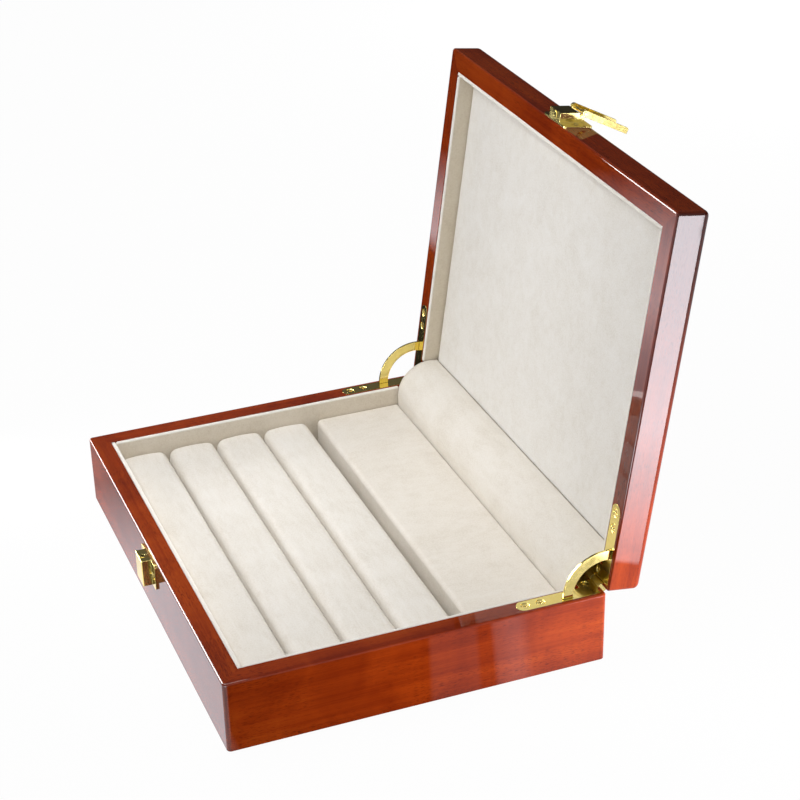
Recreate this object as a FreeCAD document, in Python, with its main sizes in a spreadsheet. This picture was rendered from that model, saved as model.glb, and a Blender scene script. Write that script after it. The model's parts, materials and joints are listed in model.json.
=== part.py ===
import FreeCAD, Part
import os
import Sketcher

# Cufflink display box: a lacquered wooden case whose lid stands open on two
# quadrant hinges. The frame has +X to the right, +Y to the back and +Z up, with
# the origin at the middle of the underside. Lid pieces are drawn closed and then
# turned about the hinge axis. All sizes are in millimetres.

V = FreeCAD.Vector
X_AXIS = V(1, 0, 0)
Y_AXIS = V(0, 1, 0)

DIMENSIONS = {
    # Wooden case
    "box_width": 260.0,
    "box_depth": 198.0,
    "base_height": 39.0,
    "lid_height": 18.0,
    "rim_gap": 0.3,
    "wall_thickness": 10.5,
    "bottom_thickness": 4.0,
    "top_thickness": 5.0,
    "felt_thickness": 1.0,
    "corner_radius": 2.2,
    "lid_top_radius": 3.6,
    "foot_radius": 0.4,
    "rim_radius": 1.1,
    # Suede linings
    "liner_thickness": 2.5,
    "liner_edge_radius": 1.0,
    "floor_lining": 1.0,
    "pad_thickness": 4.0,
    "pad_edge_radius": 1.5,
    "soft_clearance": 0.3,
    # Cufflink rolls and the platform behind them
    "roll_pitch": 28.5,
    "roll_drop": 9.6,
    "roll_crown": 0.9,
    "roll_tuck": 1.5,
    "roll_shoulder_radius": 5.0,
    "roll_end_radius": 2.0,
    "platform_gap": 5.5,
    "platform_drop": 10.4,
    "platform_lip_radius": 3.0,
    "platform_end_radius": 1.5,
    # Suede strip that covers the hinge line
    "cover_thickness": 1.2,
    "cover_radius": 19.7,
    "cover_flap": 15.0,
    # Hinge barrel, leaves and stop arms
    "open_angle": 98.0,
    "hinge_setback": 0.3,
    "barrel_diameter": 5.0,
    "barrel_inset": 5.6,
    "barrel_clearance": 0.35,
    "knuckle_length": 8.6,
    "knuckle_gap": 0.3,
    "hinge_pin_diameter": 2.4,
    "pin_running_gap": 0.04,
    "pin_seat_gap": 0.02,
    "leaf_thickness": 1.2,
    "leaf_margin": 2.0,
    "leaf_inner_margin": 0.4,
    "leaf_side_length": 43.6,
    "leaf_back_length": 34.0,
    "leaf_screw_end": 4.7,
    "leaf_screw_spacing": 8.2,
    "leaf_back_screw": 10.3,
    "leaf_back_spacing": 17.2,
    "arm_inner_radius": 17.3,
    "arm_width": 5.2,
    "arm_thickness": 1.2,
    "arm_inset": 3.4,
    "arm_clearance": 0.3,
    "arm_head": 1.2,
    "arm_head_angle": 3.5,
    "arm_head_gap_angle": 0.9,
    "arm_travel_ratio": 0.68,
    # Countersunk screws
    "screw_head_diameter": 4.2,
    "screw_shank_diameter": 2.0,
    "screw_length": 8.0,
    "screw_head_height": 1.1,
    "screw_tip": 1.6,
    "screw_sink": 0.3,
    "screw_gap": 0.02,
    "cross_length": 2.3,
    "cross_width": 0.5,
    "cross_depth": 0.6,
    # Latch: catch on the base, hasp and lever on the lid
    "plate_width": 25.0,
    "plate_thickness": 1.0,
    "plate_corner_radius": 1.5,
    "plate_screw_offset": 9.3,
    "block_width": 12.0,
    "block_edge_radius": 0.4,
    "catch_height": 15.0,
    "catch_drop": 3.0,
    "catch_proud": 6.0,
    "hasp_height": 15.5,
    "hasp_rise": 0.4,
    "hasp_proud": 6.0,
    "hasp_block_height": 10.5,
    "hasp_slope": 2.0,
    "bush_diameter": 4.0,
    "bush_hole": 2.0,
    "bush_depth": 6.0,
    "bush_proud": 0.2,
    "ear_thickness": 1.0,
    "ear_inset": 0.1,
    "ear_radius": 1.8,
    "pivot_rise": 13.7,
    "pivot_proud": 5.8,
    "pivot_pin_diameter": 1.5,
    "pivot_pin_head": 0.3,
    "lever_length": 27.0,
    "lever_depth": 3.2,
    "lever_sheet": 0.8,
    "lever_side_gap": 0.3,
    "lever_web_start": 2.4,
    "lever_tip_radius": 1.2,
    "lever_rest_tilt": 20.0,
    "rib_pitch": 1.6,
    "rib_height": 0.35,
}

ROLL_COUNT = 4
RIB_COUNT = 9

doc = FreeCAD.newDocument("cufflink_box")
sheet = doc.addObject("Spreadsheet::Sheet", "dim")
for row, (alias, number) in enumerate(DIMENSIONS.items(), start=1):
    sheet.set(f"A{row}", alias)
    sheet.set(f"B{row}", str(number))
    sheet.setAlias(f"B{row}", alias)
doc.recompute()

# Places that several pieces share, as expressions on the sheet
HALF_WIDTH = "dim.box_width / 2"
HALF_DEPTH = "dim.box_depth / 2"
INNER_X = f"({HALF_WIDTH} - dim.wall_thickness)"
INNER_Y = f"({HALF_DEPTH} - dim.wall_thickness)"
LINED_X = f"({INNER_X} - dim.liner_thickness)"
LINED_Y = f"({INNER_Y} - dim.liner_thickness)"
SOFT_X = f"({LINED_X} - dim.soft_clearance)"
RIM_Z = "dim.base_height"
LID_RIM_Z = "(dim.base_height + dim.rim_gap)"
LID_TOP_Z = f"({LID_RIM_Z} + dim.lid_height)"
LID_CEILING_Z = f"({LID_TOP_Z} - dim.top_thickness)"
PAD_FACE_Z = f"({LID_CEILING_Z} - dim.pad_thickness)"
PANEL_TOP_Z = "(dim.felt_thickness + dim.bottom_thickness)"
FLOOR_Z = f"({PANEL_TOP_Z} + dim.floor_lining)"
HINGE_Y = f"({HALF_DEPTH} + dim.hinge_setback)"
HINGE_Z = f"({RIM_Z} + dim.rim_gap / 2)"
BARREL_RADIUS = "dim.barrel_diameter / 2"
ARM_OUTER = "(dim.arm_inner_radius + dim.arm_width)"
PIVOT_Y = f"(-{HALF_DEPTH} - dim.pivot_proud)"
PIVOT_Z = f"({LID_RIM_Z} + dim.pivot_rise)"
# Distance of the hinge cover's outer face from the hinge axis, and where its bend starts below it
COVER_REACH = "(dim.hinge_setback + dim.wall_thickness + dim.liner_thickness + dim.cover_thickness)"
COVER_START = f"((dim.cover_radius - {COVER_REACH}) * tan(dim.open_angle / 2))"


def value(expression):
    """Number that an expression on the sheet gives now."""
    return float(sheet.evalExpression(expression))


OPEN_LID = FreeCAD.Placement(
    V(0, 0, 0),
    FreeCAD.Rotation(X_AXIS, -value("dim.open_angle")),
    V(0, value(HINGE_Y), value(HINGE_Z)),
)
UPRIGHT = FreeCAD.Rotation()
ALONG_X = FreeCAD.Rotation(Y_AXIS, 90)
UPSIDE_DOWN = FreeCAD.Rotation(X_AXIS, 180)
FACING_FRONT = FreeCAD.Rotation(X_AXIS, 90)

nodes = []


def node(obj, label, on_lid=False):
    """Name a finished piece, and turn it with the open lid if it belongs there."""
    obj.Label = label
    if on_lid:
        obj.Placement = OPEN_LID.multiply(obj.Placement)
    nodes.append(obj)
    return obj


def bind(obj, **expressions):
    for name, expression in expressions.items():
        obj.setExpression(name.replace("__", "."), str(expression))


def at(obj, x, y, z):
    bind(obj, Placement__Base__x=x, Placement__Base__y=y, Placement__Base__z=z)
    return obj


def box(name, x, y, z):
    """Block between a low and a high expression on each axis."""
    obj = doc.addObject("Part::Box", name)
    bind(
        obj,
        Length=f"({x[1]}) - ({x[0]})",
        Width=f"({y[1]}) - ({y[0]})",
        Height=f"({z[1]}) - ({z[0]})",
    )
    return at(obj, x[0], y[0], z[0])


def cylinder(name, radius, height, x, y, z, rotation=UPRIGHT):
    obj = doc.addObject("Part::Cylinder", name)
    obj.Placement = FreeCAD.Placement(V(0, 0, 0), rotation)
    bind(obj, Radius=radius, Height=height)
    return at(obj, x, y, z)


def cone(name, low_radius, high_radius, height, z):
    obj = doc.addObject("Part::Cone", name)
    bind(obj, Radius1=low_radius, Radius2=high_radius, Height=height)
    return at(obj, "0", "0", z)


def fuse(name, pieces):
    obj = doc.addObject("Part::MultiFuse", name)
    obj.Shapes = pieces
    obj.Refine = True
    return obj


def common(name, base, tool):
    obj = doc.addObject("Part::Common", name)
    obj.Base = base
    obj.Tool = tool
    return obj


def cut(name, base, tool):
    obj = doc.addObject("Part::Cut", name)
    obj.Base = base
    obj.Tool = tool
    return obj


def compound(name, pieces):
    obj = doc.addObject("Part::Compound", name)
    obj.Links = pieces
    return obj


def copy_of(master, name, x, y, z, rotation=UPRIGHT):
    """Another instance of a repeated shape, at its own place."""
    obj = doc.addObject("App::Link", name)
    obj.LinkedObject = master
    obj.Placement = FreeCAD.Placement(V(0, 0, 0), rotation)
    return at(obj, x, y, z)


def rounded(name, base, radius, chosen):
    """Round the edges of a piece that the chooser picks, with one radius from the sheet."""
    doc.recompute()
    obj = doc.addObject("Part::Fillet", name)
    obj.Base = base
    size = value(radius)
    edges = enumerate(base.Shape.Edges, start=1)
    obj.Edges = [(number, size, size) for number, edge in edges if chosen(edge)]
    return obj


def direction(edge):
    first, last = edge.Vertexes[0].Point, edge.Vertexes[-1].Point
    return (last - first).normalize()


def runs_along(axis):
    return lambda edge: abs(direction(edge).dot(axis)) > 0.999


def at_height(expression):
    level = value(expression)
    return lambda edge: abs(edge.BoundBox.ZMin - level) < 1e-4 and abs(edge.BoundBox.ZMax - level) < 1e-4


def plane(body, role):
    return next(item for item in body.Origin.OriginFeatures if item.Role == role)


def start_arc(points, first, last, radius, inside):
    """Arc between two corners, with its centre left of the way round if inside is true."""
    chord = points[last] - points[first]
    middle = (points[first] + points[last]) * 0.5
    left = V(-chord.y, chord.x, 0).normalize()
    height = (radius**2 - (chord.Length / 2) ** 2) ** 0.5
    side = 1 if inside else -1
    centre = middle + left * height * side
    crest = centre - left * radius * side
    return Part.Arc(points[first], crest, points[last])


def outline(body, name, role, corners, arcs=None):
    """Closed sketch through corners; arcs gives a radius and a side for some of its stretches."""
    arcs = arcs or {}
    sketch = body.newObject("Sketcher::SketchObject", name)
    sketch.AttachmentSupport = (plane(body, role), [""])
    sketch.MapMode = "FlatFace"
    points = [V(value(across), value(up), 0) for across, up in corners]
    starts = []
    for first in range(len(points)):
        last = (first + 1) % len(points)
        if first in arcs:
            radius, inside = arcs[first]
            geometry = start_arc(points, first, last, value(radius), inside)
            sketch.addGeometry(geometry, False)
            begins = sketch.getPoint(first, 1)
            starts.append(1 if begins.distanceToPoint(points[first]) < 1e-6 else 2)
            number = sketch.addConstraint(Sketcher.Constraint("Radius", first, value(radius)))
            sketch.setExpression(f"Constraints[{number}]", radius)
        else:
            sketch.addGeometry(Part.LineSegment(points[first], points[last]), False)
            starts.append(1)
    for first, (across, up) in enumerate(corners):
        before = (first - 1) % len(corners)
        end_before = 3 - starts[before]
        sketch.addConstraint(Sketcher.Constraint("Coincident", before, end_before, first, starts[first]))
        for kind, expression in (("DistanceX", across), ("DistanceY", up)):
            place = Sketcher.Constraint(kind, -1, 1, first, starts[first], value(expression))
            number = sketch.addConstraint(place)
            sketch.setExpression(f"Constraints[{number}]", expression)
    return sketch


def pad_across(body, name, sketch, length):
    """Pad a side outline equally to both sides of the middle plane."""
    pad = body.newObject("PartDesign::Pad", name)
    pad.Profile = sketch
    pad.SideType = "Symmetric"
    bind(pad, Length=length)
    return pad


def soften(body, name, base, radius, chosen):
    """Fillet feature on the edges of a body's last feature that the chooser picks."""
    doc.recompute()
    fillet = body.newObject("PartDesign::Fillet", name)
    edges = enumerate(base.Shape.Edges, start=1)
    fillet.Base = (base, [f"Edge{number}" for number, edge in edges if chosen(edge)])
    bind(fillet, Radius=radius)
    doc.recompute()
    return fillet


def from_side(side, near, far):
    """Low and high X of a stretch measured inwards from the right (1) or left (-1) outer face."""
    if side > 0:
        return (f"{HALF_WIDTH} - ({far})", f"{HALF_WIDTH} - ({near})")
    return (f"-{HALF_WIDTH} + ({near})", f"-{HALF_WIDTH} + ({far})")


def side_x(side, inwards):
    return f"{side} * ({HALF_WIDTH} - ({inwards}))"


def from_back(near, far):
    return (f"{HALF_DEPTH} - ({far})", f"{HALF_DEPTH} - ({near})")


# Wooden case: one rounded block for each half, cut into four mitred walls
def wood_block(name, low, height, top_radius, low_radius):
    body = doc.addObject("PartDesign::Body", name)
    corners = [
        (f"-{HALF_WIDTH}", f"-{HALF_DEPTH}"),
        (HALF_WIDTH, f"-{HALF_DEPTH}"),
        (HALF_WIDTH, HALF_DEPTH),
        (f"-{HALF_WIDTH}", HALF_DEPTH),
    ]
    sketch = outline(body, f"{name}_plan", "XY_Plane", corners)
    sketch.setExpression("AttachmentOffset.Base.z", low)
    pad = body.newObject("PartDesign::Pad", f"{name}_pad")
    pad.Profile = sketch
    bind(pad, Length=height)
    upright = soften(body, f"{name}_corners", pad, "dim.corner_radius", runs_along(V(0, 0, 1)))
    top = soften(body, f"{name}_top", upright, top_radius, at_height(f"({low}) + ({height})"))
    soften(body, f"{name}_low", top, low_radius, at_height(low))
    return body


WALL_TURNS = {"front": 0, "right": 90, "back": 180, "left": 270}


def mitred_walls(half, block, low, height):
    """Walls of one half, each the block's share between two mitres."""
    walls = {}
    for place, turn in WALL_TURNS.items():
        along, across = (HALF_WIDTH, HALF_DEPTH) if turn % 180 == 0 else (HALF_DEPTH, HALF_WIDTH)
        wedge = doc.addObject("Part::Wedge", f"{half}_{place}_mitre")
        bind(
            wedge,
            Xmin=f"-{along}",
            Xmax=along,
            X2min=f"-({along}) + dim.wall_thickness",
            X2max=f"{along} - dim.wall_thickness",
            Ymin=f"-{across}",
            Ymax=f"-({across}) + dim.wall_thickness",
            Zmin=low,
            Z2min=low,
            Zmax=f"({low}) + ({height})",
            Z2max=f"({low}) + ({height})",
        )
        wedge.Placement = FreeCAD.Placement(V(0, 0, 0), FreeCAD.Rotation(V(0, 0, 1), turn))
        walls[place] = common(f"{half}_{place}_stock", block, wedge)
    return walls


# Countersunk cross-head screw, drawn point down and a little below the face at zero height
def screw_master():
    head = cone(
        "screw_head",
        "dim.screw_shank_diameter / 2",
        "dim.screw_head_diameter / 2",
        "dim.screw_head_height",
        "-(dim.screw_sink + dim.screw_head_height)",
    )
    shank = cylinder(
        "screw_shank",
        "dim.screw_shank_diameter / 2",
        "dim.screw_length - dim.screw_tip",
        "0",
        "0",
        "-(dim.screw_sink + dim.screw_length - dim.screw_tip)",
    )
    tip = cone(
        "screw_point",
        "0",
        "dim.screw_shank_diameter / 2",
        "dim.screw_tip",
        "-(dim.screw_sink + dim.screw_length)",
    )
    half_length, half_width = "dim.cross_length / 2", "dim.cross_width / 2"
    depth = ("-(dim.screw_sink + dim.cross_depth)", "0")
    slot_x = box("screw_slot_x", (f"-{half_length}", half_length), (f"-{half_width}", half_width), depth)
    slot_y = box("screw_slot_y", (f"-{half_width}", half_width), (f"-{half_length}", half_length), depth)
    solid = fuse("screw_solid", [head, shank, tip])
    return cut("screw", solid, fuse("screw_cross", [slot_x, slot_y]))


def screw_hole_master():
    """Countersink and pilot hole that a screw sits in."""
    flare = "(dim.screw_head_diameter - dim.screw_shank_diameter) / 2 / dim.screw_head_height"
    sink = cone(
        "hole_sink",
        "dim.screw_shank_diameter / 2 + dim.screw_gap",
        f"dim.screw_head_diameter / 2 + dim.screw_gap + dim.screw_sink * {flare}",
        "dim.screw_sink + dim.screw_head_height",
        "-(dim.screw_sink + dim.screw_head_height)",
    )
    pilot = cylinder(
        "hole_pilot",
        "dim.screw_shank_diameter / 2 + dim.screw_gap",
        "dim.screw_sink + dim.screw_length + dim.screw_gap",
        "0",
        "0",
        "-(dim.screw_sink + dim.screw_length + dim.screw_gap)",
    )
    return fuse("screw_hole", [sink, pilot])


screw = screw_master()
screw_hole = screw_hole_master()


# Quadrant hinges
KNUCKLE_STEP = "(dim.knuckle_length + dim.knuckle_gap)"
BARREL_LENGTH = "(3 * dim.knuckle_length + 2 * dim.knuckle_gap)"
# Measured inwards: where the leaf ends at the inside, and where it starts and has its screws at the back
LEAF_INNER = "(dim.wall_thickness - dim.leaf_inner_margin)"
LEAF_WIDTH = f"({LEAF_INNER} - dim.leaf_margin)"
LEAF_MIDDLE = f"((dim.leaf_margin + {LEAF_INNER}) / 2)"
LEAF_BACK = f"({BARREL_RADIUS} + dim.barrel_clearance - dim.hinge_setback)"
LEAF_BACK_MIDDLE = f"(({LEAF_BACK} + {LEAF_INNER}) / 2)"
LEAF_END = f"({LEAF_BACK} + dim.leaf_side_length)"
LEAF_SCREWS = (
    (LEAF_MIDDLE, f"({LEAF_END} - dim.leaf_screw_end)"),
    (LEAF_MIDDLE, f"({LEAF_END} - dim.leaf_screw_end - dim.leaf_screw_spacing)"),
    ("(dim.leaf_margin + dim.leaf_back_screw)", LEAF_BACK_MIDDLE),
    ("(dim.leaf_margin + dim.leaf_back_screw + dim.leaf_back_spacing)", LEAF_BACK_MIDDLE),
)
SIDES = {"right": 1, "left": -1}


def leaf_levels(half):
    """Rim face and buried face of a leaf."""
    if half == "base":
        return (f"{RIM_Z} - dim.leaf_thickness", RIM_Z)
    return (LID_RIM_Z, f"{LID_RIM_Z} + dim.leaf_thickness")


def leaf_plate(name, side, levels):
    """L of the leaf on the rim corner, with the side arm's round end."""
    round_centre = f"({LEAF_END} - {LEAF_WIDTH} / 2)"
    arm = box(
        f"{name}_side_arm",
        from_side(side, "dim.leaf_margin", LEAF_INNER),
        from_back(LEAF_BACK, round_centre),
        levels,
    )
    end = cylinder(
        f"{name}_round_end",
        f"{LEAF_WIDTH} / 2",
        f"({levels[1]}) - ({levels[0]})",
        side_x(side, LEAF_MIDDLE),
        f"{HALF_DEPTH} - {round_centre}",
        levels[0],
    )
    back = box(
        f"{name}_back_arm",
        from_side(side, "dim.leaf_margin", "dim.leaf_margin + dim.leaf_back_length"),
        from_back(LEAF_BACK, LEAF_INNER),
        levels,
    )
    return [arm, end, back]


def leaf_holes(name, side, half):
    """Screw holes of one leaf, head outwards on the rim."""
    rim, turn = (RIM_Z, UPRIGHT) if half == "base" else (LID_RIM_Z, UPSIDE_DOWN)
    return [
        copy_of(screw_hole, f"{name}_hole_{count}", side_x(side, x), f"{HALF_DEPTH} - {y}", rim, turn)
        for count, (x, y) in enumerate(LEAF_SCREWS, start=1)
    ]


def leaf_screws(half):
    """All screws of one half's leaves."""
    rim, turn = (RIM_Z, UPRIGHT) if half == "base" else (LID_RIM_Z, UPSIDE_DOWN)
    copies = []
    for place, side in SIDES.items():
        for count, (x, y) in enumerate(LEAF_SCREWS, start=1):
            name = f"{half}_{place}_screw_{count}"
            copies.append(copy_of(screw, name, side_x(side, x), f"{HALF_DEPTH} - {y}", rim, turn))
    return copies


def barrel_place(side, steps):
    """Low X of the knuckle that many steps in from the outer face."""
    near = f"(dim.barrel_inset + {steps} * {KNUCKLE_STEP})"
    return from_side(side, near, f"{near} + dim.knuckle_length")


def arm_stretch(side):
    return from_side(side, "dim.arm_inset", "dim.arm_inset + dim.arm_thickness")


def arm_passage(side):
    """X of the slot that a stop arm slides in."""
    return from_side(
        side,
        "dim.arm_inset - dim.arm_clearance",
        "dim.arm_inset + dim.arm_thickness + dim.arm_clearance",
    )


def hinge_leaf(half, place, side):
    """Leaf with its knuckles, bored for the pin and slotted for the stop arm."""
    name = f"{half}_{place}_leaf"
    levels = leaf_levels(half)
    pieces = leaf_plate(name, side, levels)
    steps = (0, 2) if half == "base" else (1,)
    for step in steps:
        stretch = barrel_place(side, step)
        pieces.append(
            box(f"{name}_tongue_{step}", stretch, (f"{HALF_DEPTH} - {LEAF_BACK}", HINGE_Y), levels)
        )
        pieces.append(
            cylinder(
                f"{name}_knuckle_{step}",
                BARREL_RADIUS,
                "dim.knuckle_length",
                stretch[0],
                HINGE_Y,
                HINGE_Z,
                ALONG_X,
            )
        )
    gap = "dim.pin_seat_gap" if half == "base" else "dim.pin_running_gap"
    bore = cylinder(
        f"{name}_bore",
        f"dim.hinge_pin_diameter / 2 + {gap}",
        BARREL_LENGTH,
        from_side(side, "dim.barrel_inset", f"dim.barrel_inset + {BARREL_LENGTH}")[0],
        HINGE_Y,
        HINGE_Z,
        ALONG_X,
    )
    slot = box(
        f"{name}_slot",
        arm_passage(side),
        (
            f"{HINGE_Y} - {ARM_OUTER} - dim.arm_clearance",
            f"{HINGE_Y} - dim.arm_inner_radius + dim.arm_clearance",
        ),
        levels,
    )
    holes = leaf_holes(name, side, half)
    return cut(f"{name}_cut", fuse(f"{name}_blank", pieces), fuse(f"{name}_tools", [bore, slot] + holes))


ARM_POCKET = f"({ARM_OUTER} + dim.arm_head + dim.arm_clearance)"
ARM_POCKET_BACK = f"({LEAF_BACK} + dim.arm_clearance)"


def hinge_seats(half):
    """What the hinges take out of the walls of one half: leaf recess, barrel notch, arm mortise, pilots."""
    levels = leaf_levels(half)
    notch = f"({BARREL_RADIUS} + dim.barrel_clearance)"
    if half == "base":
        notch_z = (f"{HINGE_Z} - {notch}", RIM_Z)
        pocket_z = (f"{HINGE_Z} - {ARM_POCKET}", RIM_Z)
        pocket_y = (f"{HINGE_Y} - {ARM_POCKET}", f"{HALF_DEPTH} - {ARM_POCKET_BACK}")
    else:
        rise = f"{ARM_POCKET} * sin((1 - dim.arm_travel_ratio) * dim.open_angle + dim.arm_head_angle * 3)"
        notch_z = (LID_RIM_Z, f"{HINGE_Z} + {notch}")
        pocket_z = (LID_RIM_Z, f"{HINGE_Z} + {rise}")
        pocket_y = (f"{HINGE_Y} - {ARM_POCKET}", f"{HALF_DEPTH} - {LEAF_INNER}")
    tools = []
    for place, side in SIDES.items():
        name = f"{half}_{place}_seat"
        tools += leaf_plate(name, side, levels)
        tools += leaf_holes(name, side, half)
        tools.append(
            box(
                f"{name}_notch",
                from_side(
                    side,
                    "dim.barrel_inset - dim.barrel_clearance",
                    f"dim.barrel_inset + {BARREL_LENGTH} + dim.barrel_clearance",
                ),
                from_back("0", LEAF_BACK),
                notch_z,
            )
        )
        tools.append(box(f"{name}_mortise", arm_passage(side), pocket_y, pocket_z))
    return tools


def hinge_pin(place, side):
    stretch = from_side(side, "dim.barrel_inset", f"dim.barrel_inset + {BARREL_LENGTH}")
    return cylinder(
        f"{place}_pin", "dim.hinge_pin_diameter / 2", BARREL_LENGTH, stretch[0], HINGE_Y, HINGE_Z, ALONG_X
    )


def ring_sector(name, side, inner, outer, first, last):
    """Flat ring piece about the hinge axis, from one angle above the front to another."""
    lay_flat = FreeCAD.Rotation(V(0, -1, 0), V(0, 0, 1), V(-1, 0, 0), "XYZ")
    turn = FreeCAD.Rotation(V(-1, 0, 0), value(first)).multiply(lay_flat)
    x = arm_stretch(side)[1]
    disc = cylinder(f"{name}_disc", outer, "dim.arm_thickness", x, HINGE_Y, HINGE_Z, turn)
    bind(disc, Angle=f"({last}) - ({first})")
    hole = cylinder(f"{name}_hole", inner, "dim.arm_thickness", x, HINGE_Y, HINGE_Z, turn)
    bind(hole, Angle=f"({last}) - ({first})")
    return cut(name, disc, hole)


def stop_arm(place, side):
    """Quadrant arm that floats between the leaves, with a head buried in each half."""
    name = f"{place}_arm"
    buried = "(asin((dim.leaf_thickness + dim.rim_gap / 2) / dim.arm_inner_radius) / 1 deg)"
    low_neck = f"-({buried} + dim.arm_head_gap_angle)"
    high_neck = f"(dim.open_angle + {buried} + dim.arm_head_gap_angle)"
    low_end = f"({low_neck} - dim.arm_head_angle)"
    high_end = f"({high_neck} + dim.arm_head_angle)"
    wide = ("dim.arm_inner_radius - dim.arm_head", f"{ARM_OUTER} + dim.arm_head")
    band = ring_sector(f"{name}_band", side, "dim.arm_inner_radius", ARM_OUTER, low_end, high_end)
    low_head = ring_sector(f"{name}_low_head", side, wide[0], wide[1], low_end, low_neck)
    high_head = ring_sector(f"{name}_high_head", side, wide[0], wide[1], high_neck, high_end)
    return fuse(f"{name}_whole", [band, low_head, high_head])


# Latch
CATCH_TOP = f"({RIM_Z} - dim.catch_drop)"
CATCH_LOW = f"({CATCH_TOP} - dim.catch_height)"
HASP_LOW = f"({LID_RIM_Z} + dim.hasp_rise)"
HASP_TOP = f"({HASP_LOW} + dim.hasp_height)"
FRONT = f"-{HALF_DEPTH}"
PLATE_FACE = f"({FRONT} - dim.plate_thickness)"
CATCH_BORE_Y = f"({FRONT} - (dim.catch_proud + dim.plate_thickness) / 2)"
HASP_BORE_Y = f"({FRONT} - (dim.hasp_proud + dim.plate_thickness) / 2)"
PLATE_X = ("-dim.plate_width / 2", "dim.plate_width / 2")
BLOCK_X = ("-dim.block_width / 2", "dim.block_width / 2")


def latch_places(half):
    """Where the two screws of a latch plate go in."""
    low, top = (CATCH_LOW, CATCH_TOP) if half == "base" else (HASP_LOW, HASP_TOP)
    return [(f"{side} * dim.plate_screw_offset", f"({low} + {top}) / 2") for side in (-1, 1)]


def latch_copies(master, name, half):
    return [
        copy_of(master, f"{name}_{count}", x, PLATE_FACE, z, FACING_FRONT)
        for count, (x, z) in enumerate(latch_places(half), start=1)
    ]


def latch_plate(name, low, top):
    plate = box(f"{name}_sheet", PLATE_X, (PLATE_FACE, FRONT), (low, top))
    return rounded(f"{name}_sheet_round", plate, "dim.plate_corner_radius", runs_along(Y_AXIS))


def bush_bore(name, y, low):
    radius = "dim.bush_diameter / 2 + dim.pin_seat_gap"
    return cylinder(name, radius, "dim.bush_depth", "0", y, low)


def bush(name, y, low):
    """Ring set into a block's bore, standing a little proud of it."""
    height = "dim.bush_depth + dim.bush_proud"
    ring = cylinder(f"{name}_ring", "dim.bush_diameter / 2", height, "0", y, low)
    eye = cylinder(f"{name}_eye", "dim.bush_hole / 2", height, "0", y, low)
    return cut(f"{name}_cut", ring, eye)


def catch():
    """Plate with a raised block, bored from above for its bush."""
    block = box("catch_block", BLOCK_X, (f"{FRONT} - dim.catch_proud", PLATE_FACE), (CATCH_LOW, CATCH_TOP))
    front_y = value(f"{FRONT} - dim.catch_proud")
    on_front = lambda edge: edge.BoundBox.YMax < front_y + 1e-4
    block = rounded("catch_block_round", block, "dim.block_edge_radius", on_front)
    bore = bush_bore("catch_bore", CATCH_BORE_Y, f"{CATCH_TOP} - dim.bush_depth")
    solid = fuse("catch_solid", [latch_plate("catch", CATCH_LOW, CATCH_TOP), block])
    return cut("catch_cut", solid, fuse("catch_tools", [bore] + latch_copies(screw_hole, "catch_hole", "base")))


def hasp():
    """Plate with a sloped block, bored from below for its bush, and two ears for the lever's pin."""
    body = doc.addObject("PartDesign::Body", "hasp_block")
    block_face = f"{FRONT} - dim.hasp_proud"
    slope_low = f"({HASP_LOW} + dim.hasp_block_height)"
    slope_top = f"({slope_low} + dim.hasp_slope)"
    corners = [
        (PLATE_FACE, HASP_LOW),
        (PLATE_FACE, slope_top),
        (block_face, slope_low),
        (block_face, HASP_LOW),
    ]
    pad_across(body, "hasp_block_pad", outline(body, "hasp_side", "YZ_Plane", corners), "dim.block_width")
    pieces = [latch_plate("hasp", HASP_LOW, HASP_TOP), body]
    for place, side in SIDES.items():
        outer = "dim.block_width / 2 - dim.ear_inset"
        low_x = f"{side} * ({outer} - dim.ear_thickness / 2) - dim.ear_thickness / 2"
        stretch = (low_x, f"{low_x} + dim.ear_thickness")
        strap_z = (f"{PIVOT_Z} - dim.ear_radius", f"{PIVOT_Z} + dim.pivot_pin_diameter / 4")
        pieces.append(box(f"hasp_{place}_strap", stretch, (PIVOT_Y, PLATE_FACE), strap_z))
        pieces.append(
            cylinder(f"hasp_{place}_ear", "dim.ear_radius", "dim.ear_thickness", low_x, PIVOT_Y, PIVOT_Z, ALONG_X)
        )
    bore = bush_bore("hasp_bore", HASP_BORE_Y, HASP_LOW)
    pivot = cylinder(
        "hasp_pivot",
        "dim.pivot_pin_diameter / 2 + dim.pin_seat_gap",
        "dim.block_width",
        BLOCK_X[0],
        PIVOT_Y,
        PIVOT_Z,
        ALONG_X,
    )
    holes = latch_copies(screw_hole, "hasp_hole", "lid")
    return cut("hasp_cut", fuse("hasp_solid", pieces), fuse("hasp_tools", [bore, pivot] + holes))


LEVER_INNER = "(dim.block_width / 2 + dim.lever_side_gap)"
LEVER_OUTER = f"({LEVER_INNER} + dim.lever_sheet)"
LEVER_HALF = "(dim.lever_depth / 2)"


def lever_pin():
    length = f"(2 * {LEVER_OUTER} + 2 * dim.pivot_pin_head)"
    return cylinder(
        "lever_pin", "dim.pivot_pin_diameter / 2", length, f"-{length} / 2", PIVOT_Y, PIVOT_Z, ALONG_X
    )


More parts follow.
